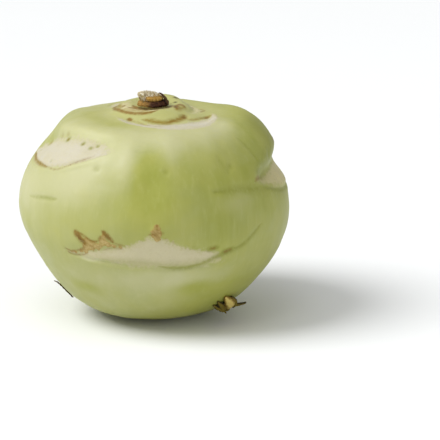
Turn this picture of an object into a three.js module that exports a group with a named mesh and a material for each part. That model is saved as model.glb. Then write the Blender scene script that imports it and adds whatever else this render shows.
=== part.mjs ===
// A kohlrabi: the swollen green stem, trimmed flush at the root and standing on that small flat spot.
// Millimetres and degrees. +Z is up, the base rests on Z = 0, -Y is the front.
//
// The skin has its own coordinates: an azimuth round the stem, 0 at the front and growing towards +X,
// and a distance from the middle of the crown, measured down over the skin.

import * as THREE from "three";

// ---- Driving dimensions -------------------------------------------------------------------------

// [radius, height] up the side, from the rim of the trimmed base to the rim of the cut crown.
const SIDE = [
  [11.0, 0.0], [24.6, 4.6], [35.9, 16.0], [42.9, 29.0], [44.4, 38.5], [42.6, 49.0],
  [37.8, 59.0], [31.5, 65.6], [24.0, 67.6], [15.0, 68.3], [10.0, 70.3], [5.0, 70.6],
];
const RINGS = 42; // rings of facets between base rim and crown rim
const SECTORS = 76; // facets round a ring
const BASE_FADE = 8; // the relief dies out over this distance, so that the base stays flat
const CROWN_FADE = 4;

// Leaf scars: where a leaf was cut off, the skin steps in under an arched edge.
// azimuth and fromCrown place the scar's middle, halfWidth is along its length, rise and sink are the
// height of its upper edge and the depth of its lower edge there, horn lifts its two tips, tilt lifts the
// tip on the +azimuth side and drops the other, peak is how pointed the upper edge is, skew moves the lowest
// point sideways, depth is the step, and swell is the fullness of the skin above.
const SCAR_FIELDS = [
  "azimuth", "fromCrown", "halfWidth", "rise", "sink", "horn", "tilt", "peak", "skew", "depth", "swell",
];
const SCARS = [
  [0, 72.3, 30.5, 5.4, 4.6, -0.4, 0, 0.85, 9, 0.5, 0.6], // low, at the front
  [88, 53, 26, 5.5, 4.5, 1.6, 0, 1.4, 0, 2.3, 0.8], // the deep step on the right
  [-60, 42, 25.5, 8, 4.6, 0, 4, 3, 3, 1.6, 0.3], // upper left
  [27, 22, 19.8, 2, 5, 3.4, -2.2, 2, -3, 0.8, 0.5], // on the shoulder
  [-45, 9.3, 11, 1.5, 1.4, 0.2, 0, 1.6, 0, 0.4, 0.2], // beside the crown, left
  [95, 15, 8, 1.2, 1.6, 1, 0, 1.6, 0, 0.4, 0.2], // beside the crown, right
  [160, 34, 20, 4, 4.5, 1.5, 0, 1.4, 0, 1.5, 0.8], // high at the back
  [-140, 60, 26, 5, 4.5, 1, 0, 1.2, 0, 1.8, 1], // low at the back
  [-150, 19, 10, 2, 2, 2, 0, 1.6, 0, 0.5, 0.3], // on the shoulder, at the back
].map((row) => Object.fromEntries(SCAR_FIELDS.map((field, index) => [field, row[index]])));
const LIP = 2.6; // how far above a scar's upper edge its step reaches
const TIP_TAPER = 0.35; // share of a scar's half width over which the step dies out to the tips
const SWELL_ABOVE = 6; // the swelling's middle above the upper edge, and its half height

// Broad swellings and hollows: [azimuth, fromCrown, half width round, half width up, height].
const LOBES = [
  [86, 37.5, 18, 10, 1.1], [92, 78, 32, 22, 1.7], [110, 30, 12, 7, 0.9], [176, 13, 12, 5, 1.5],
  [-84, 39, 18, 10, -2.3], [-95, 62, 26, 10, 0.5], [-90, 80, 25, 12, -0.7], [-120, 30, 10, 7, 0.4],
  [74, 98, 14, 8, 0.4],
];

// The dried stub of the shoot, cut off above the crown, stands clear of it by a small gap.
const GAP = 0.3;
const STUB_AT = [0.2, -1.5]; // its middle on the crown
const STUB_SIDE = [[4.2, 0], [4.5, 1.1], [3.9, 2.1], [3.5, 2.7], [3.7, 3.5], [3.3, 4.3], [2.0, 4.7]];
const STUB_LEAN = 2.2; // how far its top leans to the left
const STUB_HEIGHT = 4.7;
const STUB_SECTORS = 24;
const STUB_LUMPS = [[3, 0.22, 20], [5, 0.16, 75], [9, 0.1, 10]]; // [lumps round, height, turn]

// The dried scale that leans on the stub's right side, from its foot to its tip:
// height above the crown, shift round the stub, distance from the stub's axis, half width, half thickness.
const SCALE_AT = 72; // azimuth round the stub
const SCALE = [
  [0.6, 0, 5.35, 1.3, 0.3], [1.4, 0, 5.3, 1.5, 0.35], [2.3, -0.1, 4.75, 1.3, 0.33],
  [3.2, -0.3, 4.3, 0.9, 0.3], [4.1, -0.6, 3.9, 0.5, 0.25],
];

// The dry remains of the two lowest leaf stalks, lying on the skin near the base:
// azimuth, fromCrown, lift off the skin, half width down the skin, half thickness.
const RIGHT_REMNANT = [
  [46, 94.2, 0.8, 0.5, 0.4], [50, 95.8, 1.1, 1.4, 0.7], [55, 97.6, 1.4, 2.0, 0.9],
  [61, 99.2, 1.6, 1.8, 0.9], [66, 99.6, 1.9, 1.1, 0.75], [70, 99.0, 2.3, 0.6, 0.5],
  [74, 98.7, 3.0, 0.4, 0.4],
];
const LEFT_REMNANT = [
  [-80, 92.8, 1.1, 0.4, 0.35], [-78, 94.8, 0.75, 0.6, 0.4], [-77, 96.6, 0.75, 0.7, 0.4],
  [-76, 98.6, 0.75, 0.6, 0.4], [-75.5, 100.6, 0.9, 0.4, 0.35],
];
const STRAND_SIDES = 10;
const STRAND_RINGS = 16;

// Colours, roughness: all of it is matte or waxy plant skin, none of it metal.
const LOOKS = {
  bulb: { color: 0xa9ad62, roughness: 0.42 },
  crown_stub: { color: 0xb59a63, roughness: 0.9 },
  crown_scale: { color: 0x4a3216, roughness: 0.85 },
  dry_leaf_base_right: { color: 0x8f7b35, roughness: 0.85 },
  dry_leaf_base_left: { color: 0x5d4c22, roughness: 0.85 },
};

// ---- The skin -----------------------------------------------------------------------------------

// A smooth curve through [radius, height] points.
const curveThrough = (points) => new THREE.SplineCurve(points.map((point) => new THREE.Vector2(...point)));

const sideCurve = curveThrough(SIDE);
sideCurve.arcLengthDivisions = 600;
const sideLength = sideCurve.getLength();
const crownRadius = SIDE.at(-1)[0];
const crownHeight = SIDE.at(-1)[1];

const radians = THREE.MathUtils.degToRad;
const smooth = (value) => THREE.MathUtils.smoothstep(value, 0, 1);
const bell = (value) => Math.exp(-value * value);

// The distance round the skin from one azimuth to another, the short way, at a radius.
function arcBetween(azimuth, middle, radius) {
  const turn = THREE.MathUtils.euclideanModulo(azimuth - middle + 180, 360) - 180;
  return radius * radians(turn);
}

// The height of a leaf scar's upper and lower edges at a distance along it.
function scarEdges(scar, along) {
  const share = Math.abs(along / scar.halfWidth);
  const lift = scar.horn * share * share + (scar.tilt * along) / scar.halfWidth;
  const sideways = scar.skew * Math.max(0, 1 - share * share);
  const lowShare = Math.abs((along - sideways) / scar.halfWidth);
  return {
    top: scar.rise * (1 - share ** scar.peak) + lift,
    bottom: -scar.sink * (1 - lowShare ** 2.2) + lift,
  };
}

// How far a leaf scar moves the skin outwards at a place.
function scarRelief(scar, azimuth, fromCrown, radius) {
  const along = arcBetween(azimuth, scar.azimuth, radius);
  const up = scar.fromCrown - fromCrown;
  const { top, bottom } = scarEdges(scar, along);
  const taper = smooth((1 - Math.abs(along / scar.halfWidth)) / TIP_TAPER);
  const below = smooth((up - bottom) / Math.max(top - bottom, 0.5));
  const above = bell((up - top) / LIP);
  const step = scar.depth * taper * (up > top ? above : below);
  const fullness = bell(along / scar.halfWidth) * bell((up - scar.rise - SWELL_ABOVE) / SWELL_ABOVE);
  return scar.swell * fullness - step;
}

// How far the skin stands outside the plain side curve at a place.
function relief(azimuth, fromCrown, radius) {
  let height = 0;
  for (const scar of SCARS) {
    height += scarRelief(scar, azimuth, fromCrown, radius);
  }
  for (const [middle, middleFromCrown, round, up, lobe] of LOBES) {
    const along = arcBetween(azimuth, middle, radius);
    height += lobe * bell(along / round) * bell((middleFromCrown - fromCrown) / up);
  }
  const toBase = crownRadius + sideLength - fromCrown;
  const toCrown = fromCrown - crownRadius;
  return height * smooth(toBase / BASE_FADE) * smooth(toCrown / CROWN_FADE);
}

// The point that stands off the skin by lift at a place.
function skinPoint(azimuth, fromCrown, lift) {
  const share = THREE.MathUtils.clamp(1 - (fromCrown - crownRadius) / sideLength, 0, 1);
  const point = sideCurve.getPointAt(share);
  const tangent = sideCurve.getTangentAt(share);
  const outward = relief(azimuth, fromCrown, point.x) + lift;
  const radius = point.x + tangent.y * outward;
  const height = point.y - tangent.x * outward;
  const turn = radians(azimuth);
  return new THREE.Vector3(radius * Math.sin(turn), -radius * Math.cos(turn), height);
}

// ---- The pieces ---------------------------------------------------------------------------------

// The stem: a lathed solid with a flat base disc and a flat crown disc, its side moved to the skin.
function bulbGeometry() {
  const side = sideCurve.getSpacedPoints(RINGS);
  const profile = [new THREE.Vector2(0, 0), ...side, new THREE.Vector2(0, crownHeight)];
  const geometry = new THREE.LatheGeometry(profile, SECTORS);
  const positions = geometry.getAttribute("position");
  for (let sector = 0; sector <= SECTORS; sector += 1) {
    const azimuth = ((sector % SECTORS) * 360) / SECTORS;
    for (let ring = 0; ring <= RINGS; ring += 1) {
      const fromCrown = crownRadius + sideLength * (1 - ring / RINGS);
      const point = skinPoint(azimuth, fromCrown, 0);
      positions.setXYZ(sector * profile.length + ring + 1, point.x, point.z, -point.y);
    }
  }
  geometry.rotateX(Math.PI / 2);
  return geometry;
}

// The stub of the shoot: a lathed solid with a lumpy side that leans to the left.
function stubGeometry() {
  const side = curveThrough(STUB_SIDE).getPoints(STUB_SIDE.length * 2);
  const profile = [new THREE.Vector2(0, 0), ...side, new THREE.Vector2(0, STUB_HEIGHT - GAP)];
  const geometry = new THREE.LatheGeometry(profile, STUB_SECTORS);
  geometry.rotateX(Math.PI / 2);
  const positions = geometry.getAttribute("position");
  for (let index = 0; index < positions.count; index += 1) {
    const [x, y, z] = [positions.getX(index), positions.getY(index), positions.getZ(index)];
    const azimuth = THREE.MathUtils.radToDeg(Math.atan2(x, -y));
    let scale = 1;
    for (const [lumps, height, turn] of STUB_LUMPS) {
      scale += (height * Math.cos(radians(lumps * (azimuth - turn)))) / STUB_SIDE[0][0];
    }
    const share = z / STUB_HEIGHT;
    positions.setX(index, x * scale - STUB_LEAN * share * share);
    positions.setY(index, y * scale);
  }
  return geometry;
}

// A closed strand: a ball whose rings are laid out along stations, each ring an ellipse.
// A station is [along, across, lift, half width across, half thickness], and place turns the
// first three into a point.
function strandGeometry(stations, place) {
  const middles = stations.map(([along, across, lift]) => new THREE.Vector3(along, across, lift));
  const halves = stations.map((station) => new THREE.Vector3(station[3], station[4], 0));
  const path = new THREE.CatmullRomCurve3(middles);
  const size = new THREE.CatmullRomCurve3(halves);
  const geometry = new THREE.SphereGeometry(1, STRAND_SIDES, STRAND_RINGS);
  const positions = geometry.getAttribute("position");
  for (let ring = 0; ring <= STRAND_RINGS; ring += 1) {
    const middle = path.getPoint(ring / STRAND_RINGS);
    const half = size.getPoint(ring / STRAND_RINGS);
    const isEnd = ring === 0 || ring === STRAND_RINGS;
    for (let side = 0; side <= STRAND_SIDES; side += 1) {
      const turn = ((side % STRAND_SIDES) * 2 * Math.PI) / STRAND_SIDES;
      const across = isEnd ? 0 : half.x * Math.cos(turn);
      const lift = isEnd ? 0 : half.y * Math.sin(turn);
      const point = place(middle.x, middle.y + across, middle.z + lift);
      positions.setXYZ(ring * (STRAND_SIDES + 1) + side, point.x, point.y, point.z);
    }
  }
  return geometry;
}

// A point beside the stub, at a height above the crown and a distance from the stub's axis.
function besideStub(height, round, distance) {
  const turn = radians(SCALE_AT) + round / distance;
  return new THREE.Vector3(distance * Math.sin(turn), -distance * Math.cos(turn), height);
}

// ---- The assembly -------------------------------------------------------------------------------

const group = new THREE.Group();

function add(name, geometry, [x, y, z] = [0, 0, 0]) {
  const material = new THREE.MeshStandardMaterial({ ...LOOKS[name], metalness: 0 });
  const mesh = new THREE.Mesh(geometry, material);
  mesh.name = name;
  mesh.position.set(x, y, z);
  group.add(mesh);
}

add("bulb", bulbGeometry());
add("crown_stub", stubGeometry(), [...STUB_AT, crownHeight + GAP]);
add("crown_scale", strandGeometry(SCALE, besideStub), [...STUB_AT, crownHeight + GAP]);
add("dry_leaf_base_right", strandGeometry(RIGHT_REMNANT, skinPoint));
add("dry_leaf_base_left", strandGeometry(LEFT_REMNANT, skinPoint));

export default group;
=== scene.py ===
"""The looks of a kohlrabi: its fine skin, leaf scars, dried shoot stub and dry leaf remains, on a pale floor.

Lengths are in millimetres and angles in degrees until a mesh is made. The skin has its own coordinates:
an azimuth round the stem, 0 at the front (-Y) and growing towards +X, and a distance from the middle of
the crown, measured down over the skin.
"""

import math

import bpy
import numpy as np
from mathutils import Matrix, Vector, noise


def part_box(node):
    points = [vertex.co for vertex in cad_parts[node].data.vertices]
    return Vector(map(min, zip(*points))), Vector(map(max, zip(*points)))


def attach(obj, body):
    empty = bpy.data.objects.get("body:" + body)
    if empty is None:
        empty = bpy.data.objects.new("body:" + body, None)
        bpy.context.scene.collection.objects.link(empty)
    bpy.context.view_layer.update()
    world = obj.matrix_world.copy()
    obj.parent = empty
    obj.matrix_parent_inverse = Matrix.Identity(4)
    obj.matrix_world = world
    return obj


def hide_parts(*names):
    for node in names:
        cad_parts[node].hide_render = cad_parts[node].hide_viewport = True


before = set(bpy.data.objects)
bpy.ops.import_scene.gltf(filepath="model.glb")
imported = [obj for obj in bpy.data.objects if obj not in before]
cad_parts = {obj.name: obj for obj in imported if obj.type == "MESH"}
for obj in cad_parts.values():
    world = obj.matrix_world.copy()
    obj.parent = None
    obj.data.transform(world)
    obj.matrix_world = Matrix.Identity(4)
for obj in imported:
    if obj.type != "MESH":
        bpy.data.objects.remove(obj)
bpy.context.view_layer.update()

MM = 0.001

# ---- The stem's shape, as the CAD solid has it ----

# [radius, height] up the side, from the rim of the trimmed base to the rim of the cut crown.
SIDE = [
    [11.0, 0.0], [24.6, 4.6], [35.9, 16.0], [42.9, 29.0], [44.4, 38.5], [42.6, 49.0],
    [37.8, 59.0], [31.5, 65.6], [24.0, 67.6], [15.0, 68.3], [10.0, 70.3], [5.0, 70.6],
]
BASE_FADE = 8
CROWN_FADE = 4

SCAR_FIELDS = (
    "azimuth", "from_crown", "half_width", "rise", "sink", "horn", "tilt", "peak", "skew", "depth", "swell",
    "lip", "groove", "tan", "top_soft", "low_soft", "spread", "beak", "cut",
)
# The last eight are for the fine skin: the rolled lip above the scar, the groove under it, how far its
# colour goes from white to tan, how soft the colour's upper and lower edges are, how far it spreads past
# them, the height of a beak in its upper edge, and how far short of the scar's right tip it stops.
SCARS = [dict(zip(SCAR_FIELDS, row)) for row in [
    (0, 72.3, 30.5, 5.4, 4.6, -0.4, 0, 0.85, 9, 0.5, 0.6, 0.1, 0.25, 0.45, 1.8, 2.4, 0, 2.6, 7),
    (88, 53, 26, 5.5, 4.5, 1.6, 0, 1.4, 0, 2.3, 0.8, 0, 0.3, 1.0, 2.4, 3, -0.2, 0, 0),
    (-60, 42, 25.5, 8, 4.6, 0, 4, 3, 3, 1.6, 0.3, 0, 0.3, 0, 3, 0.9, 0.4, 0, 0),
    (27, 22, 19.8, 2, 5, 3.4, -2.2, 2, -3, 0.8, 0.5, 0.1, 0.15, 0, 1.6, 1.2, 0.9, 0, 0),
    (-45, 9.3, 11, 1.5, 1.4, 0.2, 0, 1.6, 0, 0.4, 0.2, 0.1, 0.1, 0.8, 2, 1.5, 1.2, 0, 0),
    (95, 15, 8, 1.2, 1.6, 1, 0, 1.6, 0, 0.4, 0.2, 0.1, 0.1, 0.7, 2, 2, 0, 0, 0),
    (160, 34, 20, 4, 4.5, 1.5, 0, 1.4, 0, 1.5, 0.8, 0.4, 0.3, 0.1, 1.5, 1, 0, 0, 0),
    (-140, 60, 26, 5, 4.5, 1, 0, 1.2, 0, 1.8, 1, 0.4, 0.4, 0.4, 1, 1.5, 0, 1.2, 0),
    (-150, 19, 10, 2, 2, 2, 0, 1.6, 0, 0.5, 0.3, 0.2, 0.2, 0.3, 1.5, 1.2, 0, 0, 0),
]]
BEAK_AT = 3
BEAK_HALF_WIDTH = 7
LIP = 2.6
TIP_TAPER = 0.35
TIP_SLOPE = 0.3  # how fast a scar's colour deepens from its tips
LOW_PEAK = 2.2  # as peak, for the lower edge
THINNEST_SCAR = 0.5
SWELL_ABOVE = 6

# Broad swellings and hollows: azimuth, from crown, half width round, half width up, height.
LOBES = [
    (86, 37.5, 18, 10, 1.1), (92, 78, 32, 22, 1.7), (110, 30, 12, 7, 0.9), (176, 13, 12, 5, 1.5),
    (-84, 39, 18, 10, -2.3), (-95, 62, 26, 10, 0.5), (-90, 80, 25, 12, -0.7), (-120, 30, 10, 7, 0.4),
    (74, 98, 14, 8, 0.4),
]

# ---- The fine skin ----

# Shallow ribs that run down the stem, and small fullnesses of the shoulder, as LOBES.
RIBS = [
    (-11, 42, 3.2, 13, 0.22), (10, 38, 3.2, 16, 0.25), (-1, 46, 4, 14, -0.2), (34, 36, 4, 14, 0.2),
    (62, 30, 4, 9, 0.25), (-40, 56, 5, 12, 0.2), (150, 55, 4, 16, 0.25), (-170, 52, 4, 16, 0.25),
    (125, 40, 4, 14, 0.2), (-115, 36, 4, 12, 0.2), (40, 92, 6, 10, 0.2), (-20, 90, 6, 10, 0.2),
    (-138, 28, 10, 6, -0.25), (152, 11, 5, 4, 1.1), (128, 28, 9, 6, -0.15), (102, 35, 7, 6, 0.6),
]

# Lines in the skin: pigment, strength, half width, depth of the groove, then points along it as
# (azimuth, from crown). The pigments are dark green, orange brown, ochre and near black. The dark green
# along the creases and along the right scar's upper edge is partly the skin's darker green and partly
# painted shade.
LINES = [
    # the low front scar: its crease, the crease's tail to the right and the dashes at that end
    ("green", 0.35, 0.6, 0.15, [(-27, 74.6), (-12, 74.6), (0, 75.4), (8, 76.2)]),
    ("green", 0.4, 1.8, 0, [(-22, 74.0), (-8, 74.2), (4, 75.0), (15, 75.4), (26, 73.8)]),
    ("green", 0.8, 0.9, 0.2, [(4, 75.9), (13, 76.7), (22, 75.8), (30, 73.4), (36, 72.0)]),
    ("green", 0.7, 0.8, 0.3, [(34, 72.2), (41, 71.0), (45, 69.2), (52.5, 65)]),
    ("green", 1.0, 0.9, 0.1, [(25.4, 70.6), (29.6, 70.1)]),
    ("brown", 0.6, 0.5, 0, [(26.4, 70.4), (28.6, 70.2)]),
    ("green", 1.0, 1.0, 0.15, [(32.2, 72.4), (37.5, 71.3)]),
    ("brown", 0.7, 0.6, 0, [(33.2, 72.2), (36.5, 71.5)]),
    ("brown", 0.35, 0.4, 0.05, [(9.5, 66.4), (10.3, 67.3)]),
    ("brown", 0.35, 0.4, 0.05, [(6.6, 65.2), (7.4, 66.3)]),
    ("green", 0.4, 0.7, 0.05, [(18, 69.0), (20.5, 69.8)]),
    # the corky spikes at its left end
    ("brown", 1.0, 0.95, 0.1, [(-31.8, 64.6), (-30.4, 66.0), (-28.8, 67.4), (-27.2, 69.0)]),
    ("dark", 0.4, 0.5, 0, [(-31.0, 65.4), (-29.4, 66.9), (-28.2, 68.2)]),
    ("brown", 0.7, 0.45, 0, [
        (-31.4, 64.4), (-28.4, 65.4), (-24.6, 67.0), (-21.8, 67.3), (-20.2, 65.7), (-18.9, 63.6)]),
    ("brown", 1.0, 0.7, 0.1, [(-19, 63.6), (-17, 65.2), (-15.0, 67.2)]),
    ("dark", 0.3, 0.4, 0, [(-18, 64.4), (-16, 66.2)]),
    ("brown", 0.5, 0.5, 0, [(-15.2, 67.0), (-12.8, 67.9), (-10, 68.4)]),
    ("brown", 0.7, 0.45, 0, [(-27.6, 68.6), (-29.0, 70.4), (-32, 71.6), (-36, 72.0), (-38.6, 71.4)]),
    ("dark", 0.4, 0.5, 0.1, [(-39, 71.0), (-38.3, 71.8)]),
    ("dark", 0.4, 0.45, 0.1, [(-37.2, 73.0), (-36.2, 72.9)]),
    ("brown", 0.6, 0.4, 0.1, [(-38.4, 72.2), (-36.3, 73.2), (-32, 73.2), (-27.5, 72.4)]),
    ("brown", 0.4, 0.45, 0, [(-20, 70.4), (-15.5, 69.4), (-11, 69.6)]),
    ("brown", 0.5, 0.4, 0, [(-25.5, 68.6), (-23.5, 70.0), (-24.5, 71.4)]),
    # the upper left scar: its crease and the brown corner
    ("brown", 0.6, 0.4, 0.15, [
        (-76, 46.4), (-67.2, 46.3), (-56, 46.6), (-49, 46.5), (-42.5, 44.8), (-36.2, 42.5),
        (-30.2, 40.5), (-25, 38.2)]),
    ("ochre", 0.9, 0.7, 0.1, [(-96, 46.8), (-86, 46.4), (-78, 46.6), (-68, 46.6), (-58, 46.7)]),
    ("brown", 0.6, 0.45, 0, [(-92, 46.4), (-84, 46.2), (-76, 46.6)]),
    # the right scar: the brown tip and the long crease under it
    ("brown", 0.6, 0.7, 0.1, [(52.4, 51.0), (55.4, 50.4), (58, 50.0)]),
    ("ochre", 0.5, 0.9, 0, [(56, 50.4), (62, 50.6)]),
    ("green", 0.6, 1.5, 0.4, [
        (29.5, 52.0), (39.8, 52.4), (50.8, 53.2), (61.8, 54.5), (74.5, 57.5), (96, 58.6)]),
    ("green", 0.85, 3.2, 0, [(57, 48.6), (64, 47.2), (72, 45.6), (82, 44.4), (94, 44.0)]),
    ("green", 0.45, 0.8, 0.15, [(53.5, 36.0), (55.5, 39.0), (56.8, 41.6), (58.6, 44.6)]),
    ("green", 0.35, 0.9, 0.15, [(34.8, 40.6), (36.6, 44.1), (39, 47)]),
    # the shoulder scar: its ochre groove, the dark knots in it and its left tip
    ("ochre", 0.8, 1.35, 0.2, [
        (-10, 15.3), (0, 16.0), (7, 17.1), (15.8, 17.8), (25, 17.3), (35.5, 16.6), (46, 15.9)]),
    ("ochre", 0.9, 1.2, 0.2, [(18, 17.4), (30, 16.8), (40, 16.0), (47, 14.6)]),
    ("ochre", 0.7, 0.8, 0.15, [(41, 17.6), (49, 18.3), (57, 18.6), (69.5, 19.0), (80, 20.2)]),
    ("brown", 0.8, 0.8, 0.1, [(42, 15.6), (49, 14.6)]),
    ("dark", 0.5, 0.6, 0, [(45, 15.2), (49, 14.8)]),
    ("brown", 0.6, 0.6, 0.1, [(18, 17.6), (30, 16.4), (38, 15.8)]),
    ("brown", 0.8, 0.6, 0.1, [(66, 19.4), (75, 19.6)]),
    ("brown", 1.0, 0.7, 0.1, [(-29.6, 15.2), (-26.2, 15.7)]),
    ("ochre", 0.5, 0.6, 0.1, [(-25, 16.0), (-16, 16.6), (-6, 18.6), (2, 21.4), (12, 23.2)]),
    # round the stub
    ("brown", 0.95, 0.7, 0.1, [
        (-112, 13.6), (-88, 12.8), (-63, 12.0), (-33, 12.2), (-16.5, 12.0), (-2.5, 11.4), (12, 9.9)]),
    ("brown", 1.0, 0.8, 0.1, [(-114, 13.9), (-106, 13.4), (-98, 12.6)]),
    ("ochre", 0.7, 1.1, 0, [(-106, 11.6), (-88, 11.0), (-70, 10.4)]),
    ("ochre", 0.55, 1.0, 0, [(-58, 10.6), (-30, 10.4), (-8, 10.2)]),
    ("brown", 0.8, 0.5, 0.1, [(-86, 9.2), (-74, 9.9)]),
    ("brown", 0.9, 0.6, 0.1, [(-64, 9.0), (-50, 8.6), (-27, 8.8), (-10, 9.2), (0, 8.6)]),
    ("brown", 1.0, 1.0, -0.1, [(-70, 6.8), (-40, 7.4), (-10, 7.8), (20, 7.9), (45, 7.6), (70, 6.8)]),
    ("dark", 1.0, 1.1, -0.1, [(-40, 6.8), (-5, 7.8), (28, 7.9), (58, 7.0)]),
    ("brown", 1.0, 0.9, -0.1, [(50, 10.6), (58, 9.2), (70, 8.4), (80, 9.2), (76, 11)]),
    ("ochre", 0.7, 1.2, 0, [(46, 11.0), (60, 10.6), (74, 11.0)]),
    ("dark", 0.6, 0.5, 0, [(54, 9.4), (62, 8.6)]),
    ("dark", 0.9, 0.55, 0, [(102, 7.8), (108, 7.6)]),
    ("dark", 0.9, 0.55, 0, [(126, 9.8), (134, 9.6)]),
    ("brown", 1.0, 0.6, 0, [(108, 14.0), (113, 13.6)]),
    ("brown", 0.6, 0.6, 0.1, [(86, 16.2), (96, 17.4), (106, 16.6)]),
    # small creases and marks elsewhere
    ("green", 0.6, 0.7, 0.25, [(-64, 57.6), (-54, 56.5), (-49, 56.1), (-42.5, 55.7)]),
    ("green", 0.25, 0.9, 0.12, [(-7, 37.5), (3, 37.4)]),
    ("brown", 0.35, 0.9, 0, [(50, 93.0), (56, 93.4)]),
    ("green", 0.5, 1.0, 0.3, [(-178, 44), (170, 45), (155, 46), (140, 44.5)]),
    ("green", 0.5, 0.8, 0.25, [(-165, 72), (-150, 73.5), (-135, 73), (-120, 70)]),
    ("brown", 0.5, 0.4, 0.1, [(-166, 61), (-158, 64.5), (-145, 65.8), (-128, 65)]),
    ("green", 0.4, 0.8, 0.2, [(112, 66), (124, 67), (138, 65.5)]),
]
# Round specks: pigment, strength, radius, azimuth, from crown.
SPECKS = [
    ("green", 0.9, 1.3, -57.2, 34.6), ("brown", 0.55, 0.8, -57.4, 34.5), ("green", 0.8, 1.1, -41.0, 35.2),
    ("brown", 0.45, 0.6, -41.1, 35.4), ("green", 0.8, 1.0, -33.6, 36.8), ("brown", 0.45, 0.6, -32.4, 36.3),
    ("green", 0.8, 0.9, -30, 35.5), ("brown", 0.4, 0.5, -30, 35.5),
    ("ochre", 0.5, 1.5, -88, 40.2), ("ochre", 0.4, 1.4, -68.5, 33.9), ("ochre", 0.4, 1.4, -60.8, 32.8),
    ("dark", 0.5, 0.45, 104, 10.2), ("brown", 0.5, 0.5, 118, 50), ("brown", 0.6, 0.5, -118, 57),
    ("dark", 0.35, 0.45, 168, 30.5), ("dark", 0.3, 0.4, 152, 30), ("brown", 0.5, 0.4, -152, 16),
]
# Buds above the scars, each a little brown star: azimuth, from crown, size.
BUDS = [(3.3, 63.6, 2.4), (159, 26.5, 1.5), (-139, 50.5, 1.7), (88, 42.5, 1.3)]
BUD_RAYS = 7
BUD_RAY_LOOK = (0.65, 0.42, 0.12)  # strength, half width and depth, as in LINES
BUD_RAY_START = 0.2  # share of a ray's length at which it starts
BUD_RAY_REACH = 0.75  # a ray's mean length, as a share of the bud's size
BUD_UNEVENNESS = 0.35  # of the rays' turns and lengths

# Corky patches, each a run of overlapping blobs: azimuth, from crown, radius.
CORK = [
    (-30.6, 65.6, 0.7), (-29.2, 66.8, 1.0), (-26.6, 67.6, 1.2), (-27.2, 69.6, 1.6), (-24.6, 69.2, 1.8),
    (-21.8, 69.0, 1.6), (-19.6, 67.6, 1.5), (-18.6, 65.4, 0.9), (-17.4, 67.8, 1.4), (-14.8, 68.4, 0.9),
    (-30, 71.6, 0.9), (-33, 72.3, 0.7), (-35.6, 72.5, 0.5), (-28.2, 71.2, 1.2), (-12, 68.9, 0.6),
    (3.3, 63.6, 1.9), (3.3, 65.6, 1.2), (3.2, 61.9, 1.0), (159, 26.5, 0.9), (-139, 50.5, 1.1),
    (-157, 58.4, 1.6), (-159.6, 59.6, 1.2), (-154.6, 57.2, 1.4), (-161.5, 57.2, 0.7),
]
# Soft patches: azimuth, from crown, half width round, half width up, amount (above 0 greener and darker,
# below 0 paler). The broad pale ones on the left and the upper front (azimuths -60, -38, -70, -57, -22, -20,
# 15 and 50) are painted highlight, the broad pale one low on the front (azimuth 0, 90 from crown) is painted
# reflection of the floor, and the dark one at -1 with the pale ones at -11 and 11 is the painted shade and
# light of the front ribs; the others darken or pale the skin in patches.
PATCHES_AND_PAINTED_LIGHT = [
    (2, 53, 9, 12, 0.2), (46, 88, 12, 8, 0.25), (-60, 50, 48, 42, -0.15), (0, 90, 40, 13, -0.14),
    (-20, 22, 24, 8, -0.12),
    (22, 85.6, 5, 3, 0.4), (-35, 87.6, 5, 2.5, 0.3), (-70, 21, 9, 3, 0.3), (-30, 22, 7, 3, 0.3),
    (-1, 46, 3, 9, 0.3), (-11, 42, 2.6, 8, -0.15), (11, 37, 2.6, 10, -0.15), (-38, 49, 12, 7, -0.35),
    (-70, 54, 14, 8, -0.35), (-22, 40, 12, 8, -0.2), (15, 32, 22, 6, -0.35), (50, 27, 12, 6, -0.3),
    (10, 81, 22, 5, -0.3), (-57, 31, 14, 4, -0.3), (84, 36, 10, 8, 0.9), (55, 48, 12, 3, 0.3),
    (72, 58, 14, 4, 0.4), (37, 57, 9, 3.5, -0.2), (48, 96, 12, 6, 0.6), (-14, 72, 8, 2.5, -0.3),
    (-26, 74, 3, 0.8, -0.9), (130, 28, 9, 5, 0.3), (-110, 70, 10, 5, 0.3), (30, 60, 6, 12, 0.2),
    (175, 70, 12, 6, -0.3), (150, 88, 9, 4, 0.4), (-100, 95, 9, 4, 0.3), (-150, 30, 16, 8, -0.3),
]

# The grid of the fine mesh: columns round, and rows in bands down the skin (from, to, rows).
COLUMNS = 430
ROW_BANDS = [(0, 5, 5), (5, 30, 54), (30, 62, 64), (62, 78, 40), (78, 113, 46)]
RIM_ROWS = 2
BASE_ROWS = 12

# The trimmed base's slightly hollow face.
BASE_POLE_HEIGHT = 0.4
BASE_SINK, BASE_ROUGHNESS, BASE_DEEPEST = 0.25, 0.2, 0.7
BASE_RING_HEIGHT, BASE_RING_TURN = 0.15, 2.6  # its rings' wave, in radians a millimetre
BASE_FACE_EDGE, BASE_SINK_WIDTH = 0.5, 1.5  # where the face starts, and over what distance it sinks
BASE_CORK = 1.0  # how far up the side its cork reaches

# What the fine skin adds at a scar's edges: a rolled lip above the upper one, a groove on the lower one,
# and a ridge below it, whose height is a share of the groove's depth.
LIP_ROLL_AT, LIP_ROLL_WIDTH = 1.3, 1.1
GROOVE_WIDTH = 0.6
RIDGE_AT, RIDGE_WIDTH, RIDGE_SHARE = -1.4, 0.9, 0.6

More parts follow.
